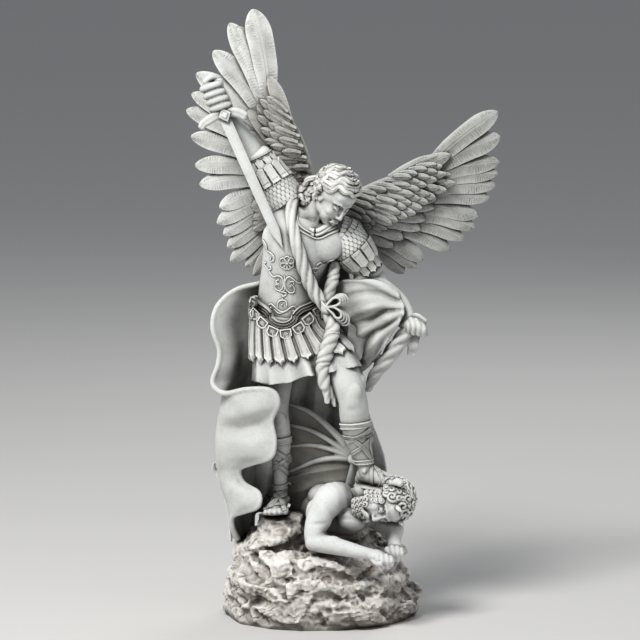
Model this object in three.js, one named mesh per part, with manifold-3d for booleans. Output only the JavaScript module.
// A garden statue of an archangel in cast stone: a winged soldier with a raised sword stands with one
// foot on rock and the other on the head of a fallen demon. Millimetres, +Z up, the viewer looks along +Y.
import * as THREE from 'three';
import { mergeVertices } from 'three/addons/utils/BufferGeometryUtils.js';
import Module from 'manifold-3d';

const wasm = await Module();
wasm.setup();

// Driving dimensions
const STATUE_HEIGHT = 788; // ground to the tip of the highest feather
const PLINTH_WIDTH = 254; // the rock's foot, across
const PLINTH_DEPTH = 208; // the rock's foot, front to back
const PLATFORM_HEIGHT = 134; // rock top under the standing foot
const FIT_GAP = 0.3; // between pieces cast apart and bedded on each other
const SURFACE_SLACK = FIT_GAP * 0.4; // how far a corner may be from the finished surface that leaves it out
const BODY_SLACK = 0.4; // the same on the archangel's body, before its neighbours are cut to it
const FORM_SLACK = 0.9; // the same on forms that nothing is cut to
const MIN_AREA = 1e-3; // twice the least area of a triangle
const CAPE_THICKNESS = 6;
const MEMBRANE_THICKNESS = 5; // skin of the bat wings
const FEATHER_THICKNESS = 6;
const STRAP_THICKNESS = 5; // skirt and shoulder straps
const BLADE_WIDTH = 15;
const BLADE_THICKNESS = 5;
const GRIP_RADIUS = 4.5;
const GUARD_RADIUS = 4;

// The figures keep their pose and proportions: they are as large as the height above the platform lets them be
const FORM_HEIGHT = 654; // standing foot to the highest feather, for which the forms below are written
const FORM_FOOT = 134; // where the standing foot is in them
const FORM_STEP = 42; // how far the demon's ledge is below the standing foot
const S = (STATUE_HEIGHT - PLATFORM_HEIGHT) / FORM_HEIGHT;
const LEDGE_HEIGHT = PLATFORM_HEIGHT - FORM_STEP * S;
const SIGHT = THREE.MathUtils.degToRad(8); // heights are read along a line of sight this far below level
const SIGHT_FOOT = 12; // reading at the middle of the statue's foot

const STONE = new THREE.MeshStandardMaterial({ color: 0xb9b7ad, roughness: 0.85, metalness: 0 });
const PALE_STONE = new THREE.MeshStandardMaterial({ color: 0xc4c3bb, roughness: 0.85, metalness: 0 });
const ROCK = new THREE.MeshStandardMaterial({ color: 0xb5aca0, roughness: 0.95, metalness: 0 });

// A place on a figure: x to the right, h as a viewer at the front reads its height, y the depth
function at(x, h, y) {
  const z = (h - SIGHT_FOOT - y * Math.sin(SIGHT)) / Math.cos(SIGHT);
  return new THREE.Vector3(x * S, y * S, PLATFORM_HEIGHT + (z - FORM_FOOT) * S);
}

// Points along a smooth line through the rows, longer by grow at both ends; a row is x, h, y and then sizes
function alongRows(rows, steps, grow = 0) {
  const line = new THREE.CatmullRomCurve3(rows.map((r) => at(r[0], r[1], r[2])), false, 'centripetal');
  const sizes = new THREE.CatmullRomCurve3(
    rows.map((r) => new THREE.Vector3(r[3] ?? 0, r[4] ?? r[3] ?? 0, r[5] ?? 0)), false, 'centripetal');
  const found = [];
  for (let i = 0; i <= steps; i += 1) {
    const t = i / steps;
    found.push({ place: line.getPoint(t), ahead: line.getTangent(t), size: sizeAt(sizes, rows, t) });
  }
  found[0].place.addScaledVector(found[0].ahead, -grow);
  found[steps].place.addScaledVector(found[steps].ahead, grow);
  return found;
}

function sizeAt(sizes, rows, t) {
  const along = t * (rows.length - 1);
  const i = Math.min(Math.floor(along), rows.length - 2);
  return sizes.points[i].clone().lerp(sizes.points[i + 1], along - i);
}

// A closed body through rings of points, all rings with the same count
function ringsBody(rings) {
  const count = rings[0].length;
  const places = rings.flat();
  const faces = [];
  for (let r = 0; r < rings.length - 1; r += 1) {
    for (let i = 0; i < count; i += 1) {
      const j = (i + 1) % count;
      const a = r * count + i;
      const b = r * count + j;
      faces.push(a, b, a + count, b, b + count, a + count);
    }
  }
  const top = (rings.length - 1) * count;
  for (let i = 1; i < count - 1; i += 1) {
    faces.push(i + 1, i, 0, top, top + i, top + i + 1);
  }
  return solidOf(places, faces);
}

// A library solid from points and triangles, turned right side out
function solidOf(places, faces) {
  let volume = 0;
  for (let i = 0; i < faces.length; i += 3) {
    const [a, b, c] = [places[faces[i]], places[faces[i + 1]], places[faces[i + 2]]];
    volume += a.dot(b.clone().cross(c));
  }
  const order = volume < 0 ? faces.map((_, i) => faces[i - (i % 3) + 2 - (i % 3)]) : faces;
  return new wasm.Manifold(new wasm.Mesh({
    numProp: 3,
    vertProperties: new Float32Array(places.flatMap((p) => [p.x, p.y, p.z])),
    triVerts: new Uint32Array(order),
  }));
}

// A library solid from a three.js geometry
function solidOfGeometry(geometry) {
  const bare = geometry.clone();
  bare.deleteAttribute('normal');
  bare.deleteAttribute('uv');
  const merged = mergeVertices(bare, 1e-4);
  const places = [];
  for (let i = 0; i < merged.attributes.position.count; i += 1) {
    places.push(new THREE.Vector3().fromBufferAttribute(merged.attributes.position, i));
  }
  return solidOf(places, Array.from(merged.index.array));
}

function joined(solids) {
  return solids.flat(3).reduce((all, one) => all.add(one));
}

// A limb: rings across a smooth line, with a half-width across and a half-depth, in each row's sizes
function limb(rows, { steps = (rows.length - 1) * 2, sides = 8, across = [1, 0, 0], grow = 0 } = {}) {
  const side = new THREE.Vector3(...across);
  const rings = alongRows(rows, steps, grow).map(({ place, ahead, size }) => {
    const u = side.clone().addScaledVector(ahead, -side.dot(ahead)).normalize();
    const v = new THREE.Vector3().crossVectors(ahead, u);
    const turn = THREE.MathUtils.degToRad(size.z);
    return Array.from({ length: sides }, (_, i) => {
      const angle = (i / sides) * 2 * Math.PI;
      const a = Math.cos(angle) * (size.x * S + grow);
      const b = Math.sin(angle) * (size.y * S + grow);
      return place.clone()
        .addScaledVector(u, a * Math.cos(turn) - b * Math.sin(turn))
        .addScaledVector(v, a * Math.sin(turn) + b * Math.cos(turn));
    });
  });
  return ringsBody(rings);
}

// A grid of points whose border is moved outwards by grow
function widened(grid, grow) {
  const away = (point, from) => point.clone().sub(from).normalize().multiplyScalar(grow);
  const lastRow = grid.length - 1;
  const lastColumn = grid[0].length - 1;
  return grid.map((row, r) => row.map((point, c) => {
    const moved = point.clone();
    if (r === 0 || r === lastRow) {
      moved.add(away(point, grid[r === 0 ? 1 : lastRow - 1][c]));
    }
    if (c === 0 || c === lastColumn) {
      moved.add(away(point, grid[r][c === 0 ? 1 : lastColumn - 1]));
    }
    return moved;
  }));
}

// A sheet on a grid of middle points; thickness is a size, or a function of row and column
function sheet(middle, thickness, grow = 0) {
  const grid = widened(middle, grow);
  const rows = grid.length;
  const columns = grid[0].length;
  const near = [];
  const far = [];
  for (let r = 0; r < rows; r += 1) {
    for (let c = 0; c < columns; c += 1) {
      const down = grid[Math.min(r + 1, rows - 1)][c].clone().sub(grid[Math.max(r - 1, 0)][c]);
      const along = grid[r][Math.min(c + 1, columns - 1)].clone().sub(grid[r][Math.max(c - 1, 0)]);
      const thick = typeof thickness === 'function' ? thickness(r, c) : thickness;
      const out = new THREE.Vector3().crossVectors(down, along).normalize().multiplyScalar(thick / 2 + grow);
      near.push(grid[r][c].clone().add(out));
      far.push(grid[r][c].clone().sub(out));
    }
  }
  const places = [...near, ...far];
  const faces = [];
  const back = near.length;
  const quad = (a, b, c, d) => faces.push(a, b, c, a, c, d);
  for (let r = 0; r < rows - 1; r += 1) {
    for (let c = 0; c < columns - 1; c += 1) {
      const a = r * columns + c;
      quad(a, a + 1, a + columns + 1, a + columns);
      quad(back + a, back + a + columns, back + a + columns + 1, back + a + 1);
    }
  }
  for (let c = 0; c < columns - 1; c += 1) {
    const low = (rows - 1) * columns + c;
    quad(c, back + c, back + c + 1, c + 1);
    quad(low, low + 1, back + low + 1, back + low);
  }
  for (let r = 0; r < rows - 1; r += 1) {
    const a = r * columns;
    const b = a + columns - 1;
    quad(a, a + columns, back + a + columns, back + a);
    quad(b, back + b, back + b + columns, b + columns);
  }
  return solidOf(places, faces);
}

// A grid with more rows and columns, smooth through the given one
function finerGrid(lines, downSteps, acrossSteps) {
  const strands = lines.map((line) => new THREE.CatmullRomCurve3(
    line.map((p) => at(...p)), false, 'centripetal').getPoints(downSteps));
  return strands[0].map((_, i) => new THREE.CatmullRomCurve3(
    strands.map((strand) => strand[i]), false, 'centripetal').getPoints(acrossSteps));
}

// A feather: a flat blade with a ridge down its middle, bent sideways by sag, in the plane facing the viewer
const FEATHER_STATIONS = [[0, 0.6], [0.45, 1], [0.86, 0.86], [1, 0.34]];
const SHORT_STATIONS = [[0, 0.8], [0.7, 1], [1, 0.45]];
function feather(root, tip, width, sag, { thick = FEATHER_THICKNESS, roll = 14, short = false, grow = 0 } = {}) {
  const a = at(...root);
  const b = at(...tip);
  const facing = new THREE.Vector3(0, -1, 0);
  const sideways = b.clone().sub(a).cross(facing).normalize();
  const bend = a.clone().add(b).multiplyScalar(0.5).addScaledVector(sideways, sag * 2 * S);
  const line = new THREE.QuadraticBezierCurve3(a, bend, b);
  const rings = (short ? SHORT_STATIONS : FEATHER_STATIONS).map(([t, share]) => {
    const place = line.getPoint(t);
    const wide = line.getTangent(t).cross(facing).normalize();
    wide.applyAxisAngle(line.getTangent(t), THREE.MathUtils.degToRad(roll));
    const out = wide.clone().cross(line.getTangent(t));
    const half = (width / 2) * share * S + grow;
    const deep = (thick / 2) * S * (0.6 + 0.4 * share) + grow;
    return [
      place.clone().addScaledVector(wide, half),
      place.clone().addScaledVector(out, deep),
      place.clone().addScaledVector(wide, -half),
      place.clone().addScaledVector(out, -deep),
    ];
  });
  return ringsBody(rings);
}

// A rounded lump
function lump(x, h, y, rx, ry = rx, rz = rx, { detail = 1, grow = 0 } = {}) {
  const ball = new THREE.IcosahedronGeometry(1, detail);
  ball.scale(rx * S + grow, ry * S + grow, rz * S + grow);
  const place = at(x, h, y);
  ball.translate(place.x, place.y, place.z);
  return solidOfGeometry(ball);
}

// Rock: broken ledges with ragged outlines, wide at the foot, and a higher block under the standing foot
const ROCK_SIDES = 18;
const REACH_X = PLINTH_WIDTH / 2;
const REACH_Y = PLINTH_DEPTH / 2;
// Each level: height as a share of the ledge height, then its outline as a share of the foot's
const ROCK_LEVELS = [
  [0, 0.97], [0.13, 1], [0.34, 0.97], [0.4, 0.9], [0.62, 0.93], [0.7, 0.84], [0.88, 0.86], [1, 0.76],
];
// Blocks under the figures: middle and half sizes in the figures' own measure, and the top as a share of the step
const BLOCK_SIDES = 10;
const BLOCKS = [
  { x: -46, y: 17, wide: 56, deep: 62, top: 0.5 },
  { x: 18, y: 37, wide: 63, deep: 50, top: 0.55 },
  { x: -48, y: 6, wide: 37, deep: 52, top: 1 },
];
const ROCK_ROUGHNESS = 6; // how far a ledge's edge wanders up and down
// Roughness that repeats the same way each time, between -1 and 1
function rough(a, b) {
  return Math.sin(a * 12.9 + b * 7.3) * 0.6 + Math.sin(a * 4.1 - b * 2.9) * 0.4;
}
function rockPlinth(grow) {
  const foot = ROCK_LEVELS.map(([level, share], ring) => Array.from({ length: ROCK_SIDES }, (_, i) => {
    const angle = ((i + 0.3 * rough(ring, i)) / ROCK_SIDES) * 2 * Math.PI;
    const reach = share * (1 + 0.06 * rough(i, ring) + 0.03 * Math.sin(angle * 3 + 1) + 0.02 * Math.sin(angle * 5));
    const flat = level === 0 || level === 1;
    const tilt = flat ? 0 : ROCK_ROUGHNESS * rough(Math.floor(ring / 2), i);
    const z = LEDGE_HEIGHT * level + tilt + (level === 1 ? grow : 0);
    return new THREE.Vector3(
      Math.cos(angle) * (REACH_X * reach + grow), Math.sin(angle) * (REACH_Y * reach + grow), z);
  }));
  const blocks = BLOCKS.map(({ x, y, wide, deep, top }, block) => {
    const low = LEDGE_HEIGHT * 0.8;
    const high = LEDGE_HEIGHT + (PLATFORM_HEIGHT - LEDGE_HEIGHT) * top;
    return ringsBody([[0, 1.06], [0.55, 1.03], [0.8, 0.94], [1, 0.84]].map(([level, share], ring) => (
      Array.from({ length: BLOCK_SIDES }, (_, i) => {
        const angle = ((i + 0.5 * (ring % 2)) / BLOCK_SIDES) * 2 * Math.PI;
        const reach = share * (1 + 0.09 * rough(i + block * 3, ring)) * S;
        return new THREE.Vector3(
          x * S + Math.cos(angle) * (wide * reach + grow),
          y * S + Math.sin(angle) * (deep * reach + grow),
          low + (high - low) * level + (level === 1 ? grow : 0),
        );
      }))));
  });
  return joined([ringsBody(foot), blocks]);
}

// The archangel's body. Each row: x, h, y, half-width, half-depth, turn in degrees
const TORSO = [
  [-30, 352, 2, 46, 36, 0], [-34, 385, 1, 43, 34, 0], [-41, 418, -1, 37, 28, -4], [-41, 438, -2, 35, 27, 0],
  [-34, 462, -4, 40, 29, 8], [-25, 490, -6, 47, 33, 16], [-22, 512, -4, 46, 31, 20], [-18, 530, 0, 37, 25, 20],
  [-12, 541, -2, 22, 18, 20],
];
const NECK = [[-14, 525, 0, 17, 17], [-2, 545, -10, 14, 15], [10, 562, -16, 14, 15]];
const COLLAR = [
  [-27, 548, 8, 4], [-29, 530, -10, 4], [-20, 519, -24, 4], [-3, 511, -31, 4], [14, 521, -26, 4],
  [20, 538, -8, 4], [18, 549, 10, 4],
];
const RIGHT_LEG = [
  [-44, 372, 4, 26, 27], [-54, 328, 2, 23, 24], [-55, 280, -2, 17, 18], [-52, 262, -3, 15.5, 17],
  [-49, 236, 3, 14, 16], [-49, 206, 4, 10.5, 12], [-49, 178, 2, 8.5, 10], [-50, 160, 2, 9, 11],
];
const RIGHT_FOOT = [[-48, 153, 10, 8, 7], [-50, 156, -2, 9.5, 9], [-55, 153, -18, 11.5, 7], [-59, 150, -32, 10, 4]];
const RIGHT_SOLE = [[-47, 144, 12, 9, 2.5], [-53, 145, -12, 11.5, 2.5], [-59, 147, -36, 10.5, 2.5]];
const LEFT_LEG = [
  [-8, 376, 0, 27, 28], [14, 350, -24, 26, 27], [34, 322, -44, 22, 22], [44, 296, -52, 19, 20],
  [47, 272, -46, 19, 19], [50, 250, -38, 17, 18], [56, 228, -34, 13, 14], [61, 210, -33, 10, 11],
  [63, 198, -34, 9.5, 11],
];
const LEFT_FOOT = [
  [58, 197, -26, 9, 9], [68, 197, -36, 11, 10], [84, 193, -48, 10, 9], [98, 189, -58, 10, 7],
  [108, 189, -64, 8, 5],
];
const LEFT_SOLE = [[56, 185, -22, 8, 2.5], [74, 184, -38, 10, 2.5], [94, 180, -54, 10, 2.5], [111, 184, -66, 8, 2.5]];
const RIGHT_ARM = [
  [-40, 540, 4, 19, 19], [-56, 566, 6, 18, 18], [-74, 596, 10, 16, 16], [-86, 618, 8, 13, 13],
  [-100, 638, 2, 11, 11], [-116, 660, -4, 8.5, 8.5], [-124, 674, -7, 8.5, 8.5],
];
const LEFT_ARM = [
  [26, 512, 0, 18, 18], [46, 490, 4, 17, 17], [66, 462, 8, 15, 15], [86, 432, 6, 13, 13],
  [102, 412, -6, 10.5, 10.5], [114, 396, -18, 8, 8],
];
const LEFT_HAND = [[108, 395, -14, 8, 8], [118, 392, -20, 11, 10], [130, 388, -24, 10, 9], [138, 378, -24, 5, 5]];
const BOOT_BANDS = [[46, 260, -41, 21.5], [61, 212, -34, 13], [-49, 240, 3, 16]];

// Fingers are a row of short rolls, from the knuckle to the tip
function fingers(knuckles, tips, radius, grow) {
  return knuckles.map((knuckle, i) => limb(
    [[...knuckle, radius], [...tips[i], radius * 0.85]], { steps: 1, sides: 4, grow }));
}

const PALM = [[-122, 662, -5, 8, 8], [-128, 682, -8, 11, 9], [-130, 702, -8, 9, 8]];
const FIST_KNUCKLES = [[-117, 700, -12], [-116, 691, -13], [-114, 682, -14], [-113, 673, -14]];
const FIST_TIPS = [[-139, 697, -14], [-142, 688, -15], [-141, 679, -16], [-138, 670, -16]];
function archangelBody(grow) {
  const bands = BOOT_BANDS.map(([x, h, y, r]) => limb(
    [[x, h + 3, y, r], [x, h - 3, y, r]], { steps: 1, sides: 8, grow }));
  return joined([
    limb(TORSO, { steps: 8, sides: 12, grow }),
    limb(NECK, { steps: 1, sides: 7, grow }),
    limb(COLLAR, { steps: 6, sides: 4, grow }),
    limb(RIGHT_LEG, { steps: 6, grow }),
    limb(RIGHT_FOOT, { steps: 3, sides: 7, grow }),
    limb(RIGHT_SOLE, { steps: 2, sides: 6, grow }),
    limb(LEFT_LEG, { steps: 7, grow }),
    limb(LEFT_FOOT, { steps: 4, sides: 7, across: [0, 1, 0], grow }),
    limb(LEFT_SOLE, { steps: 3, sides: 6, across: [0, 1, 0], grow }),
    limb(RIGHT_ARM, { steps: 5, sides: 7, grow }),
    limb(LEFT_ARM, { steps: 5, sides: 7, grow }),
    limb(LEFT_HAND, { steps: 3, sides: 6, grow }),
    limb(PALM, { steps: 2, sides: 6, grow }),
    fingers(FIST_KNUCKLES, FIST_TIPS, 5, grow),
    bands,
  ]);
}

// Head: skull, face and the waves of hair, in a frame of its own
function headFrame(x, h, y, forward, crown) {
  const ahead = new THREE.Vector3(...forward).normalize();
  const up = new THREE.Vector3(...crown);
  up.addScaledVector(ahead, -up.dot(ahead)).normalize();
  const side = new THREE.Vector3().crossVectors(ahead, up);
  const place = at(x, h, y);
  return new THREE.Matrix4().makeBasis(side, ahead, up).setPosition(place);
}

// An oval in the head's frame: middle, then half sizes to the side, forward and up
function oval(frame, middle, half, { detail = 1, grow = 0 } = {}) {
  const ball = new THREE.IcosahedronGeometry(1, detail);
  ball.scale(half[0] * S + grow, half[1] * S + grow, half[2] * S + grow);
  ball.translate(...middle.map((v) => v * S));
  ball.applyMatrix4(frame);
  return solidOfGeometry(ball);
}

// Hair as rolls that run back over the skull, each a bent tube in the head's frame
function lock(frame, points, radius, grow) {
  const line = new THREE.CatmullRomCurve3(points.map((p) => new THREE.Vector3(...p).multiplyScalar(S)));
  const rings = [0, 0.4, 0.75, 1].map((t, ring) => {
    const place = line.getPoint(t);
    const ahead = line.getTangent(t);
    const u = new THREE.Vector3(0, 0, 1).cross(ahead).normalize();
    const v = ahead.clone().cross(u);
    const r = radius * S * [0.6, 1, 1, 0.6][ring] + grow;
    return Array.from({ length: 4 }, (_, i) => {
      const angle = (i / 4) * 2 * Math.PI;
      return place.clone().addScaledVector(u, Math.cos(angle) * r).addScaledVector(v, Math.sin(angle) * r)
        .applyMatrix4(frame);
    });
  });
  return ringsBody(rings);
}

const HEAD_PLACE = [24, 557, -26];
const HEAD_FORWARD = [0.52, -0.72, -0.46];
const HEAD_CROWN = [0.1, -0.3, 0.95];
const CURLS = [[-19, 564], [-11, 549], [-1, 541], [-9, 568]];
function archangelHead(grow) {
  const frame = headFrame(...HEAD_PLACE, HEAD_FORWARD, HEAD_CROWN);
  const waves = [];
  for (let i = 0; i < 3; i += 1) {
    for (const side of [-1, 1]) {
      const lift = Math.sin((i / 2) * Math.PI * 0.5);
      waves.push(lock(frame, [
        [side * 2, 20 - i * 12, 27 + lift * 3],
        [side * (15 + lift * 3), 19 - i * 13, 21 - i * 3],
        [side * (25 + lift), 7 - i * 13, 9 - i * 6],
        [side * 23, -3 - i * 9, -3 - i * 7],
      ], 7.5, grow));
    }
  }
  return joined([
    oval(frame, [0, -3, 7], [25, 30, 26], { grow }),
    oval(frame, [0, 7, -10], [19, 21, 27], { grow }),
    oval(frame, [0, 18, -31], [9, 9, 7], { detail: 0, grow }),
    oval(frame, [0, 29, -10], [4, 6, 9], { detail: 0, grow }),
    CURLS.map(([x, h]) => lump(x, h, -8, 9, 9, 9, { detail: 0, grow })),
    waves,
  ]);
}

// Skirt: a tunic with a waved hem, then straps hung from the belt
const SKIRT_MIDDLE = [-26, 0];
const HEM_RISE = [[-86, 318], [-62, 313], [-36, 317], [-14, 325], [14, 329], [36, 335], [54, 338]];
function hemHeight(x) {
  const first = HEM_RISE.findIndex(([hx]) => hx > x);
  if (first === 0) {
    return HEM_RISE[0][1];
  }
  if (first < 0) {
    return HEM_RISE[HEM_RISE.length - 1][1];
  }
  const [[x0, h0], [x1, h1]] = [HEM_RISE[first - 1], HEM_RISE[first]];
  return h0 + ((h1 - h0) * (x - x0)) / (x1 - x0);
}

// A point on the skirt's cone: turn 0 faces the viewer and rises to the right; drop 0 is the belt, 1 the hem
function skirtPoint(turn, drop, out = 0) {
  const folds = 2.2 * Math.sin(turn * 9) * drop * drop;
  const lean = [SKIRT_MIDDLE[0] - 14 * (1 - drop) + 12 * drop, SKIRT_MIDDLE[1] - 6 * drop];
  const wide = 38 + 32 * Math.pow(drop, 0.8) + folds + out;
  const deep = 30 + 22 * drop + folds + out;
  const x = lean[0] + wide * Math.sin(turn);
  const y = lean[1] - deep * Math.cos(turn);
  const belt = 410 + 8 * Math.sin(turn) ** 2 + (Math.cos(turn) < 0 ? 8 : -10 * Math.cos(turn));
  return [x, belt + (hemHeight(x) - belt) * drop, y];
}

const SKIRT_TURNS = 20;
function tunic(grow) {
  const rings = [0, 0.5, 0.85, 1].map((drop, ring) => Array.from({ length: SKIRT_TURNS }, (_, i) => {
    const point = at(...skirtPoint((i / SKIRT_TURNS) * 2 * Math.PI, drop, grow));
    point.z -= ring === 3 ? grow : 0;
    return point;
  }));
  return ringsBody(rings);
}

// The straps over the tunic stand side by side: each has two raised edges, a groove and a pointed end
const STRAP_COUNT = 20;
const STRAP_SECTION = [[0, 0, 0], [0.22, 1, 1], [0.78, 1, 1]];
function skirtStraps(grow) {
  const drops = [0.05, 0.45, 0.62];
  const rings = drops.map((drop, ring) => Array.from({ length: STRAP_COUNT * STRAP_SECTION.length }, (_, i) => {
    const [share, raised, point] = STRAP_SECTION[i % STRAP_SECTION.length];
    const turn = ((Math.floor(i / STRAP_SECTION.length) + share) / STRAP_COUNT) * 2 * Math.PI;
    const low = drop + (ring === 2 ? 0.13 * point : 0);
    return at(...skirtPoint(turn, low, 1 + raised * STRAP_THICKNESS + grow));
  }));
  return ringsBody(rings);
}

// Belt: a raised band that dips in a bow at the front, with square tabs under it
const BELT_LINE = [
  [-78, 424, 4, 4], [-72, 416, -14, 4], [-62, 409, -26, 4], [-56, 397, -35, 4], [-43, 390, -39, 4],
  [-30, 396, -38, 4], [-23, 407, -34, 4], [-8, 415, -24, 4], [0, 420, -6, 4],
];
const TAB_COUNT = 6;
function belt(grow) {
  const tabs = Array.from({ length: TAB_COUNT }, (_, i) => {
    const turn = THREE.MathUtils.degToRad(-64 + i * 23);
    const [x, h, y] = skirtPoint(turn, 0.16, 6);
    const dip = -13 * Math.exp(-((turn - 0.02) ** 2) / 0.3);
    return lump(x, h + dip + 8, y, 5.5, 4, 6, { detail: 0, grow });
  });
  return [limb(BELT_LINE, { steps: 8, sides: 4, across: [0, 0, 1], grow }), tabs];
}

// Shoulder guards: a cap, then tiers of straps round the arm, each tier a fluted cone with a toothed edge
const GUARD_STRAPS = 9;
const GUARD_SECTION = [[0, 0, 0], [0.5, 1, 1]];
function shoulderGuard(line, capEnd, tiers, grow) {
  const points = alongRows(line, 8);
  const cones = tiers.map(({ from, to, radius, flare }) => {
    const start = points[from];
    const end = points[to];
    const rings = [0, 0.55, 0.85].map((t, ring) => (
      Array.from({ length: GUARD_STRAPS * GUARD_SECTION.length }, (_, i) => {
        const [share, raised, point] = GUARD_SECTION[i % GUARD_SECTION.length];
        const angle = ((Math.floor(i / GUARD_SECTION.length) + share) / GUARD_STRAPS) * 2 * Math.PI;
        const along = t + (ring === 2 ? 0.15 * point : 0);
        const ahead = start.ahead.clone().lerp(end.ahead, along).normalize();
        const u = new THREE.Vector3(1, 0, 0).addScaledVector(ahead, -ahead.x).normalize();
        const v = new THREE.Vector3().crossVectors(ahead, u);
        const r = (radius + flare * t - (1 - raised) * STRAP_THICKNESS * 0.4) * S + grow;
        return start.place.clone().lerp(end.place, along)
          .addScaledVector(u, Math.cos(angle) * r).addScaledVector(v, Math.sin(angle) * r);
      })));
    return ringsBody(rings);
  });
  return [limb(line.slice(0, capEnd), { steps: 2, sides: 8, grow }), cones];
}
const LEFT_GUARD = [
  [20, 510, -2, 20, 22], [30, 506, -1, 25, 25], [42, 492, 1, 25, 25], [52, 480, 3, 22, 22], [62, 467, 5, 18, 18],
  [68, 459, 6, 17, 17],
];
const LEFT_TIERS = [{ from: 3, to: 6, radius: 26, flare: 1 }, { from: 5, to: 8, radius: 22, flare: 2 }];
const RIGHT_GUARD = [
  [-36, 543, 2, 20, 22], [-43, 554, 4, 24, 24], [-52, 568, 6, 23, 23], [-62, 584, 8, 20, 20],
  [-74, 603, 10, 18, 18], [-77, 609, 10, 17, 17],
];
const RIGHT_TIERS = [{ from: 2, to: 5, radius: 25, flare: -1 }, { from: 4, to: 7, radius: 21, flare: 1 }];

// Rope-like sash: a flattened round that turns as it goes, so that it reads as two strands
function twisted(rows, turns, grow, steps = 15) {
  const rings = alongRows(rows, steps, grow).map(({ place, ahead, size }, i) => {
    const u = new THREE.Vector3(0, -1, 0).addScaledVector(ahead, ahead.y).normalize();
    const v = new THREE.Vector3().crossVectors(ahead, u);
    const turn = (i / steps) * turns * Math.PI;
    return Array.from({ length: 4 }, (_, k) => {
      const a = (k / 4) * 2 * Math.PI;
      const wide = Math.cos(a) * (size.x * S + grow);
      const deep = Math.sin(a) * (size.x * 0.6 * S + grow);
      return place.clone()
        .addScaledVector(u, wide * Math.cos(turn) - deep * Math.sin(turn))
        .addScaledVector(v, wide * Math.sin(turn) + deep * Math.cos(turn));
    });
  });
  return ringsBody(rings);
}
const SASH = [
  [-24, 560, 6, 7], [-33, 548, -14, 7.5], [-33, 520, -32, 7.5], [-26, 490, -40, 7.5], [-16, 458, -36, 8],
  [-4, 432, -32, 8], [9, 414, -34, 7],
];
const SASH_TAIL = [
  [11, 410, -38, 7], [19, 388, -44, 9], [13, 362, -52, 9.5], [6, 338, -58, 9], [9, 312, -58, 7.5],
  [14, 292, -56, 5],
];
const SASH_SIDE = [[22, 470, -8, 7], [18, 445, -16, 7.5], [10, 422, -28, 7]];
const SASH_KNOT = [10, 413, -36];
const BOW_LOOPS = [
  [[10, 414, -36, 3.6], [20, 428, -40, 4], [33, 427, -40, 4], [30, 418, -40, 4], [10, 413, -36, 3.6]],
  [[10, 412, -36, 3.6], [26, 410, -42, 4], [38, 399, -42, 4], [26, 399, -42, 4], [10, 411, -36, 3.6]],
];
function sash(grow) {
  return [
    twisted(SASH, 5, grow),
    twisted(SASH_TAIL, 4, grow, 12),
    twisted(SASH_SIDE, 1.5, grow, 4),
    BOW_LOOPS.map((loop) => limb(loop, { steps: 4, sides: 4, grow })),
    lump(...SASH_KNOT, 8, 7, 7, { detail: 0, grow }),
  ];
}

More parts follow.
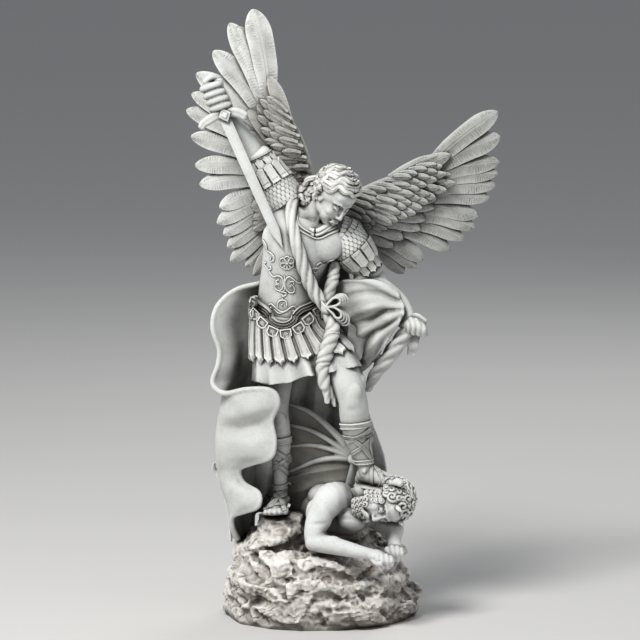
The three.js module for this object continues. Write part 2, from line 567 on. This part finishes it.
// Cape. Lines run from the shoulders down to the hem: the front edge first, then round to the back
const CAPE_LINES = [
  [[-66, 447, 12], [-105, 437, 14], [-130, 415, 6], [-136, 388, 0], [-127, 358, -2], [-129, 338, -6],
    [-136, 316, -10], [-122, 303, -24], [-90, 308, -38], [-58, 306, -46], [-51, 292, -46], [-60, 268, -40],
    [-56, 242, -44], [-60, 222, -46], [-84, 213, -36], [-102, 204, -22], [-98, 187, -20], [-76, 172, -34],
    [-77, 157, -38], [-94, 150, -30], [-111, 142, -12], [-111, 128, -6], [-104, 112, 2]],
  [[-62, 450, 18], [-92, 436, 20], [-108, 415, 16], [-115, 388, 14], [-110, 360, 12], [-112, 338, 6],
    [-118, 317, 2], [-121, 304, -10], [-114, 299, -24], [-98, 290, -38], [-92, 279, -42], [-92, 260, -30],
    [-92, 240, -42], [-95, 225, -40], [-108, 214, -26], [-114, 202, -16], [-112, 189, -16], [-99, 174, -32],
    [-98, 162, -34], [-105, 152, -24], [-113, 141, -6], [-112, 128, 0], [-107, 112, 8]],
  [[-54, 458, 23], [-78, 435, 26], [-88, 415, 26], [-95, 388, 27], [-95, 360, 26], [-100, 338, 22],
    [-106, 318, 18], [-117, 306, 8], [-122, 297, 4], [-124, 285, 0], [-127, 272, 0], [-129, 258, 0],
    [-131, 240, 0], [-131, 222, 0], [-130, 208, 2], [-128, 200, 4], [-126, 188, 4], [-121, 172, 2],
    [-117, 160, 2], [-115, 150, 4], [-113, 139, 6], [-111, 127, 10], [-108, 112, 14]],
  [[-42, 480, 26], [-48, 436, 34], [-58, 415, 38], [-64, 388, 40], [-66, 360, 42], [-72, 338, 44],
    [-78, 318, 46], [-88, 304, 44], [-96, 296, 42], [-100, 285, 40], [-102, 272, 40], [-104, 258, 42],
    [-106, 240, 42], [-106, 222, 42], [-106, 208, 44], [-104, 198, 44], [-103, 187, 44], [-100, 172, 44],
    [-98, 160, 44], [-96, 150, 44], [-94, 138, 44], [-93, 126, 44], [-92, 112, 44]],
  [[-24, 524, 22], [-18, 448, 36], [-20, 410, 44], [-24, 385, 46], [-26, 360, 48], [-28, 340, 50],
    [-30, 322, 52], [-32, 310, 52], [-34, 300, 52], [-36, 290, 52], [-38, 280, 52], [-40, 268, 54],
    [-42, 256, 54], [-44, 245, 54], [-46, 236, 54], [-48, 228, 54], [-50, 220, 54], [-52, 212, 54],
    [-54, 204, 54], [-56, 198, 54], [-58, 192, 54], [-60, 186, 54], [-62, 180, 54]],
  [[6, 530, 20], [16, 448, 36], [22, 410, 46], [22, 385, 50], [22, 360, 52], [22, 340, 56],
    [20, 322, 56], [20, 310, 54], [20, 300, 56], [20, 290, 58], [20, 280, 56], [18, 270, 56],
    [18, 260, 58], [18, 252, 58], [18, 246, 56], [18, 240, 56], [18, 234, 58], [18, 229, 58],
    [18, 224, 58], [18, 219, 58], [18, 214, 58], [18, 210, 58], [18, 206, 58]],
  [[30, 520, 14], [42, 448, 28], [50, 410, 34], [54, 385, 38], [56, 360, 38], [58, 340, 38],
    [60, 322, 36], [61, 310, 34], [62, 300, 34], [64, 290, 32], [66, 280, 32], [68, 272, 30],
    [71, 264, 28], [73, 257, 28], [76, 250, 26], [78, 244, 24], [80, 238, 22], [82, 232, 22],
    [84, 226, 20], [86, 219, 20], [87, 212, 18], [88, 205, 18], [89, 198, 18]],
];
const DRAPE_LINES = [
  [[26, 450, 2], [24, 430, 0], [26, 405, -2], [36, 378, -2], [50, 352, 0], [58, 330, 8]],
  [[48, 450, -6], [46, 430, -14], [46, 408, -12], [52, 384, -18], [60, 358, -10], [63, 334, 0]],
  [[70, 449, -10], [68, 432, -16], [68, 414, -24], [70, 394, -18], [72, 368, -22], [70, 342, -6]],
  [[88, 443, -10], [90, 430, -18], [91, 418, -20], [90, 402, -28], [84, 382, -22], [78, 352, -18]],
  [[100, 436, -6], [106, 426, -16], [110, 416, -22], [110, 404, -28], [100, 388, -28], [88, 366, -22]],
];
const DRAPE_FOLD = [[56, 455, 2, 13], [84, 436, 2, 14], [106, 418, -6, 12], [118, 400, -16, 9]];
const DRAPE_TAIL = [[116, 384, -20, 9], [104, 368, -18, 9.5], [90, 348, -12, 9.5], [76, 330, -4, 8], [64, 308, 8, 5.5]];
const DRAPE_END = [[[118, 384, -20], [132, 380, -20]], [[116, 366, -18], [130, 366, -18]], [[115, 352, -14], [125, 350, -14]]];
function cape(grow) {
  return [
    sheet(finerGrid(CAPE_LINES, 22, 7), CAPE_THICKNESS * S, grow),
    sheet(finerGrid(DRAPE_LINES, 5, 5), CAPE_THICKNESS * S, grow),
    twisted(DRAPE_TAIL, 2.5, grow, 7),
    sheet(DRAPE_END.map((row) => row.map((p) => at(...p))), CAPE_THICKNESS * 0.8 * S, grow),
    limb(DRAPE_FOLD, { steps: 3, sides: 6, grow }),
  ];
}

function archangel(grow) {
  return joined([
    archangelBody(grow), archangelHead(grow), tunic(grow), skirtStraps(grow), belt(grow),
    shoulderGuard(LEFT_GUARD, 4, LEFT_TIERS, grow), shoulderGuard(RIGHT_GUARD, 3, RIGHT_TIERS, grow),
    sash(grow), cape(grow),
  ]);
}

// Wings. Each feather: tip x and h, root x and h, width, sag
const RIGHT_FLIGHT = [
  [-85, 800, -64, 690, 27, 3], [-103, 777, -62, 678, 22, 3], [-115, 782, -64, 665, 23, 5],
  [-136, 746, -62, 650, 23, 6], [-158, 717, -60, 636, 23, 6], [-164, 691, -58, 624, 20, 5],
  [-171, 670, -58, 612, 20, 5], [-165, 636, -56, 600, 20, 4], [-160, 598, -54, 590, 19, 4],
  [-154, 573, -52, 580, 19, 4], [-128, 543, -50, 570, 18, 3], [-131, 523, -48, 562, 18, 3],
  [-123, 508, -46, 555, 17, 2], [-118, 492, -44, 548, 17, 0], [-114, 474, -42, 542, 17, -2],
  [-94, 467, -38, 536, 17, -3],
];
const RIGHT_COVERTS = [
  [-64, 713, -40, 650, 15, 2], [-53, 694, -30, 632, 14, -2], [-41, 668, -22, 612, 13, -3],
  [-91, 669, -50, 612, 17, 4], [-79, 676, -44, 622, 15, 3], [-66, 672, -38, 618, 17, 0],
  [-62, 645, -32, 600, 15, 2], [-46, 648, -24, 600, 16, -1], [-92, 640, -48, 598, 16, 4],
  [-94, 612, -46, 588, 16, 4], [-92, 588, -44, 576, 15, 3], [-88, 562, -42, 566, 15, 2],
  [-86, 540, -40, 556, 14, 1], [-84, 520, -38, 548, 14, 0], [-52, 620, -22, 588, 14, 0],
];
const RIGHT_WING_ARM = [
  [-12, 526, 14, 12, 9], [-15, 556, 30, 13, 9], [-17, 590, 37, 14, 9], [-30, 634, 44, 12, 8], [-50, 672, 50, 9, 7],
  [-62, 700, 54, 6, 5],
];
// The fleshy web of each wing lies under the coverts: x, h, half-width
const WEB_THICKNESS = 4;
const RIGHT_WEB = [[-34, 520, 10], [-46, 552, 17], [-46, 590, 22], [-50, 630, 21], [-60, 672, 15], [-68, 700, 8]];
const LEFT_WEB = [[40, 508, 18], [66, 520, 32], [96, 544, 32], [124, 570, 21], [148, 590, 12]];
const LEFT_FLIGHT = [
  [234, 668, 146, 598, 21, -3], [237, 636, 138, 588, 24, -4], [236, 603, 130, 578, 20, -5],
  [234, 588, 126, 570, 19, -6], [231, 572, 120, 562, 20, -6], [223, 556, 114, 554, 20, -6],
  [208, 532, 108, 544, 20, -6], [204, 517, 104, 534, 19, -8], [190, 502, 98, 524, 18, -8],
  [172, 488, 86, 518, 18, -7], [136, 474, 70, 510, 18, -5], [128, 465, 62, 504, 17, -5],
  [112, 458, 56, 500, 17, -4],
];
const LEFT_COVERTS = [
  [172, 612, 104, 574, 17, -3], [155, 610, 94, 580, 12, -2], [132, 583, 84, 564, 15, -2],
  [149, 570, 92, 558, 17, -3], [154, 555, 92, 550, 17, -3], [151, 543, 88, 542, 15, -4],
  [139, 527, 80, 534, 16, -4], [133, 514, 76, 524, 15, -5], [110, 502, 64, 518, 15, -4],
  [97, 492, 58, 510, 14, -3], [122, 558, 74, 554, 14, -2], [119, 546, 72, 546, 13, -3],
  [106, 528, 66, 538, 13, -3], [93, 514, 58, 528, 12, -3], [80, 497, 52, 516, 12, -2],
];
const LEFT_WING_ARM = [
  [10, 520, 12, 12, 9], [32, 540, 28, 13, 9], [56, 557, 34, 13, 9], [84, 572, 39, 11, 9], [114, 584, 45, 9, 8],
  [144, 599, 51, 6, 6], [166, 610, 54, 4, 4],
];
// Wings sweep back: depth grows with the way out from the shoulder blades
const WING_ROOT_HEIGHT = 560;
const WING_ROOT_DEPTH = 36;
const WING_SWEEP = 0.14;
function wingDepth(x, h, rootX) {
  return WING_ROOT_DEPTH + WING_SWEEP * Math.hypot(x - rootX, h - WING_ROOT_HEIGHT);
}
function wing(flight, coverts, arm, web, rootX, roll, grow) {
  const deep = (x, h, raise) => [x, h, wingDepth(x, h, rootX) - raise];
  const long = flight.map(([tx, th, rx, rh, width, sag]) => feather(
    deep(rx, rh, 0), deep(tx, th, 0), width, sag, { roll, grow }));
  const short = coverts.map(([tx, th, rx, rh, width, sag]) => feather(
    deep(rx, rh, 6), deep(tx, th, 5), width, sag, { roll, short: true, grow }));
  const middle = web.map(([x, h, half]) => [...deep(x, h, 0), half, WEB_THICKNESS]);
  return joined([
    limb(arm, { steps: 5, sides: 6, grow }), limb(middle, { steps: 4, sides: 6, grow }), long, short,
  ]);
}

// Sword: guard, grip, pommel and a blade with a ridge down each side
const GUARD_PLACE = [-119, 655, -19];
const BLADE_TIP = [-45, 489, -44];
const POMMEL_PLACE = [-136, 699, -10];
const POMMEL_RADIUS = 5.5;
function sword(grow) {
  const start = at(...GUARD_PLACE);
  const tip = at(...BLADE_TIP);
  const ahead = tip.clone().sub(start).normalize();
  const wide = new THREE.Vector3().crossVectors(ahead, new THREE.Vector3(0, -1, 0)).normalize();
  const out = new THREE.Vector3().crossVectors(wide, ahead);
  const length = tip.distanceTo(start);
  const rings = [[0, 1], [0.9, 0.8], [1, 0.12]].map(([t, share]) => {
    const place = start.clone().addScaledVector(ahead, t * length + (t === 1 ? grow : 0));
    const half = (BLADE_WIDTH / 2) * share + grow;
    const deep = (BLADE_THICKNESS / 2) * (0.5 + 0.5 * share) + grow;
    return [[half, 0], [0, deep], [-half, 0], [0, -deep]].map(([a, b]) => place.clone()
      .addScaledVector(wide, a).addScaledVector(out, b));
  });
  const bar = [
    [-147, 645, -18, GUARD_RADIUS * 0.8], [-134, 655, -19, GUARD_RADIUS * 1.1], [-119, 662, -19, GUARD_RADIUS * 1.5],
    [-106, 663, -19, GUARD_RADIUS * 1.1], [-94, 658, -18, GUARD_RADIUS * 0.8],
  ];
  const grip = [[...GUARD_PLACE, GRIP_RADIUS / S], [...POMMEL_PLACE, GRIP_RADIUS / S]];
  return joined([
    ringsBody(rings),
    limb(bar.map(([x, h, y, r]) => [x, h, y, r / S]), { steps: 4, sides: 5, grow }),
    limb(grip, { steps: 1, sides: 7, grow }),
    lump(...POMMEL_PLACE, ...Array(3).fill(POMMEL_RADIUS / S), { detail: 0, grow }),
  ]);
}

// The fallen demon lies over the ledges with his head to the right
const DEMON_TORSO = [
  [66, 146, -34, 15, 16], [46, 148, -22, 30, 29], [24, 150, 0, 32, 29], [4, 150, 30, 29, 27], [-4, 148, 58, 27, 25],
  [2, 142, 76, 20, 18],
];
const DEMON_NEAR_ARM = [
  [34, 165, -40, 15, 16], [20, 168, -46, 21, 21], [4, 148, -58, 17, 17], [-4, 126, -68, 14, 14],
  [-5, 113, -74, 12, 12],
];
const DEMON_NEAR_FOREARM = [
  [-8, 113, -74, 12, 12], [8, 110, -78, 13, 12], [28, 106, -83, 11, 11], [50, 101, -87, 9, 9], [68, 97, -88, 7.5, 7.5],
];
const DEMON_NEAR_HAND = [[66, 97, -88, 8, 7], [76, 95, -90, 11, 8], [86, 90, -92, 8, 6]];
const DEMON_FAR_ARM = [
  [66, 146, -22, 15, 15], [84, 136, -30, 15, 15], [98, 128, -42, 13, 13], [98, 112, -54, 9, 9], [99, 104, -62, 9, 9],
];
const DEMON_FAR_FIST = [98, 98, -66];
const DEMON_LEGS = [
  [[-6, 142, 62, 18, 18], [22, 128, 88, 17, 17], [48, 118, 84, 13, 13], [72, 112, 70, 10, 10], [84, 108, 60, 8, 8]],
  [[2, 140, 68, 18, 18], [-26, 124, 86, 16, 16], [-54, 116, 82, 12, 12], [-72, 112, 66, 9, 9]],
];
const NEAR_WING_ARM = [[40, 176, 6, 7, 7], [45, 198, 0, 6, 6], [50, 217, -4, 6.5, 6.5]];
const NEAR_WING_KNUCKLE = [50, 217, -4];
const NEAR_WING_RIBS = [
  [[50, 217, -4], [22, 250, 4], [-10, 277, 18], [-44, 290, 28]],
  [[50, 217, -4], [20, 238, 6], [-10, 254, 18], [-46, 262, 27]],
  [[50, 217, -4], [22, 228, 6], [-8, 234, 18], [-44, 232, 26]],
  [[50, 217, -4], [24, 218, 6], [0, 215, 16], [-26, 202, 24]],
  [[42, 184, 4], [26, 186, 8], [8, 184, 16], [-10, 178, 24]],
];
const FAR_WING_KNUCKLE = [-134, 203, 62];
const FAR_WING_RIBS = [
  [[-134, 203, 62], [-124, 176, 56], [-118, 150, 46], [-114, 108, 30]],
  [[-134, 203, 62], [-112, 180, 66], [-96, 156, 68], [-86, 128, 66]],
  [[-134, 203, 62], [-98, 190, 70], [-70, 166, 74], [-50, 136, 74]],
  [[-134, 203, 62], [-92, 206, 72], [-52, 190, 76], [-16, 160, 70]],
];
function batWing(ribs, ribThickness, grow) {
  const curves = ribs.map((rib) => new THREE.CatmullRomCurve3(rib.map((p) => at(...p))));
  const rows = curves.map((curve) => [0.02, 0.35, 0.7, 1].map((t) => curve.getPoint(t)));
  // The skin between two ribs has two lines, and its free edge is drawn in as an arc
  const grid = rows.flatMap((row, i) => (i === rows.length - 1 ? [row] : [row, ...[0.2, 0.8].map(
    (share) => row.map((p, k) => p.clone().lerp(rows[i + 1][k], share)
      .lerp(row[0], k === 3 ? 0.16 * Math.sin(share * Math.PI) : 0)))]));
  return sheet(grid, (r, c) => (r % 3 === 0 ? ribThickness * (1 - c * 0.15) : MEMBRANE_THICKNESS) * S, grow);
}
const DEMON_HEAD = [88, 163, -54];
const DEMON_FORWARD = [-0.12, -0.78, -0.62];
const DEMON_CROWN = [0.96, -0.05, 0.12];
function demonHead(grow) {
  const frame = headFrame(...DEMON_HEAD, DEMON_FORWARD, DEMON_CROWN);
  const curls = [];
  for (let ring = 0; ring < 3; ring += 1) {
    const count = [7, 6, 3][ring];
    for (let i = 0; i < count; i += 1) {
      const angle = (i / count) * 2 * Math.PI + ring * 0.4;
      const reach = [25, 21, 12][ring];
      curls.push(oval(frame, [
        Math.sin(angle) * reach, Math.cos(angle) * reach - 3, [16, 27, 34][ring]], [9, 9, 8], { detail: 0, grow }));
    }
  }
  for (let i = 0; i < 4; i += 1) {
    const angle = -1.1 + i * 0.73;
    curls.push(oval(frame, [Math.sin(angle) * 18, Math.cos(angle) * 18, -24], [9, 8, 9], { detail: 0, grow }));
  }
  return joined([
    oval(frame, [0, -3, 8], [23, 27, 25], { grow }),
    oval(frame, [0, 5, -11], [18, 19, 25], { grow }),
    oval(frame, [0, 26, -8], [4, 6, 9], { detail: 0, grow }),
    curls,
  ]);
}

const DEMON_KNUCKLES = [[84, 97, -90], [82, 92, -92], [79, 88, -94], [76, 85, -95]];
const DEMON_TIPS = [[93, 88, -92], [91, 83, -93], [87, 80, -94], [82, 79, -95]];
function demon(grow) {
  return joined([
    limb(DEMON_TORSO, { steps: 6, sides: 9, grow }),
    limb(DEMON_NEAR_ARM, { steps: 5, grow }),
    limb(DEMON_NEAR_FOREARM, { steps: 4, sides: 7, across: [0, 1, 0], grow }),
    limb(DEMON_NEAR_HAND, { steps: 2, sides: 6, across: [0, 1, 0], grow }),
    fingers(DEMON_KNUCKLES, DEMON_TIPS, 4, grow),
    limb(DEMON_FAR_ARM, { steps: 4, sides: 7, grow }),
    lump(...DEMON_FAR_FIST, 10, 11, 10, { detail: 0, grow }),
    DEMON_LEGS.map((leg) => limb(leg, { steps: 4, sides: 7, across: [0, 0, 1], grow })),
    limb(NEAR_WING_ARM, { steps: 2, sides: 6, grow }),
    lump(...NEAR_WING_KNUCKLE, 8, 7, 8, { detail: 0, grow }),
    batWing(NEAR_WING_RIBS, 9, grow),
    lump(...FAR_WING_KNUCKLE, 8, 8, 9, { detail: 0, grow }),
    batWing(FAR_WING_RIBS, 11, grow),
    demonHead(grow),
  ]);
}

// Points and triangles with every corner left out that lies within slack of the faces it would leave behind
function flattened(places, triangles, slack) {
  const faces = [];
  for (let i = 0; i < triangles.length; i += 3) {
    faces.push([triangles[i], triangles[i + 1], triangles[i + 2]]);
  }
  const around = places.map(() => new Set());
  faces.forEach((face, i) => face.forEach((corner) => around[corner].add(i)));
  const spent = new Float64Array(places.length);
  const normalOf = (face) => {
    const [a, b, c] = face.map((corner) => places[corner]);
    return b.clone().sub(a).cross(c.clone().sub(a));
  };
  const neighbours = (corner) => new Set([...around[corner]].flatMap((i) => faces[i]).filter((v) => v !== corner));

  // Moves one corner onto its neighbour, where that keeps the surface closed and as it was
  const merge = (gone, kept) => {
    const near = neighbours(gone);
    if (!near.has(kept) || [...neighbours(kept)].filter((v) => near.has(v)).length !== 2) {
      return false;
    }
    const shared = [...around[gone]].filter((i) => faces[i].includes(kept));
    const moved = [...around[gone]].filter((i) => !faces[i].includes(kept));
    const step = places[kept].clone().sub(places[gone]);
    let error = 0;
    for (const i of moved) {
      const before = normalOf(faces[i]);
      const after = normalOf(faces[i].map((corner) => (corner === gone ? kept : corner)));
      if (before.dot(after) <= 0.3 * before.length() * after.length() || after.length() < MIN_AREA) {
        return false;
      }
      error = Math.max(error, Math.abs(step.dot(before.normalize())));
    }
    if (shared.length !== 2 || spent[gone] + error > slack) {
      return false;
    }
    for (const i of shared) {
      faces[i].forEach((corner) => around[corner].delete(i));
      faces[i] = null;
    }
    for (const i of moved) {
      faces[i] = faces[i].map((corner) => (corner === gone ? kept : corner));
      around[kept].add(i);
    }
    around[gone].clear();
    spent[kept] = Math.max(spent[kept], spent[gone] + error);
    return true;
  };

  let merged = true;
  while (merged) {
    merged = false;
    const edges = faces.filter(Boolean).flatMap(([a, b, c]) => [[a, b], [b, c], [c, a]]);
    edges.sort((e, f) => places[e[0]].distanceTo(places[e[1]]) - places[f[0]].distanceTo(places[f[1]]));
    for (const [a, b] of edges) {
      merged = (around[a].size > 0 && around[b].size > 0 && merge(a, b)) || merged;
    }
  }
  return faces.filter(Boolean).flat();
}

// A solid's corners and its triangles, with needless corners left out
function surfaceOf(solid, slack) {
  const { vertProperties, triVerts, numProp } = solid.getMesh();
  const places = [];
  for (let i = 0; i < vertProperties.length; i += numProp) {
    places.push(new THREE.Vector3(vertProperties[i], vertProperties[i + 1], vertProperties[i + 2]));
  }
  return [places, flattened(places, Array.from(triVerts), slack)];
}

// The largest body of a solid, without any loose chip that a cut has made
function mainBody(solid) {
  return solid.decompose().reduce((best, one) => (one.volume() > best.volume() ? one : best));
}

function plainer(solid, slack) {
  return solidOf(...surfaceOf(mainBody(solid), slack));
}

// A named mesh from a solid
function meshOf(name, solid, material) {
  const [places, faces] = surfaceOf(mainBody(solid), SURFACE_SLACK);
  const whole = new THREE.BufferGeometry();
  whole.setAttribute('position', new THREE.Float32BufferAttribute(places.flatMap((p) => p.toArray()), 3));
  whole.setIndex(faces);
  const geometry = mergeVertices(whole.toNonIndexed(), 1e-5);
  geometry.computeVertexNormals();
  const mesh = new THREE.Mesh(geometry, material);
  mesh.name = name;
  return mesh;
}

const RIGHT_ROOT_X = -20;
const LEFT_ROOT_X = 30;
const FEATHER_ROLL = 14;
const rightWing = wing(
  RIGHT_FLIGHT, RIGHT_COVERTS, RIGHT_WING_ARM, RIGHT_WEB, RIGHT_ROOT_X, FEATHER_ROLL, 0);
const leftWing = wing(LEFT_FLIGHT, LEFT_COVERTS, LEFT_WING_ARM, LEFT_WEB, LEFT_ROOT_X, -FEATHER_ROLL, 0);
const body = plainer(archangel(0), BODY_SLACK);
const bodySpace = archangel(FIT_GAP + BODY_SLACK);
const rockSpace = rockPlinth(FIT_GAP);
const bodyCut = body.subtract(sword(FIT_GAP)).subtract(rockSpace);
const demonCut = plainer(demon(0), FORM_SLACK).subtract(bodySpace).subtract(rockSpace);

const statue = new THREE.Group();
statue.add(meshOf('rock_plinth', rockPlinth(0), ROCK));
statue.add(meshOf('archangel', bodyCut, STONE));
statue.add(meshOf('right_wing', plainer(rightWing, FORM_SLACK).subtract(bodySpace), PALE_STONE));
statue.add(meshOf('left_wing', plainer(leftWing, FORM_SLACK).subtract(bodySpace), PALE_STONE));
statue.add(meshOf('sword', sword(0), PALE_STONE));
statue.add(meshOf('fallen_demon', demonCut, STONE));

export default statue;
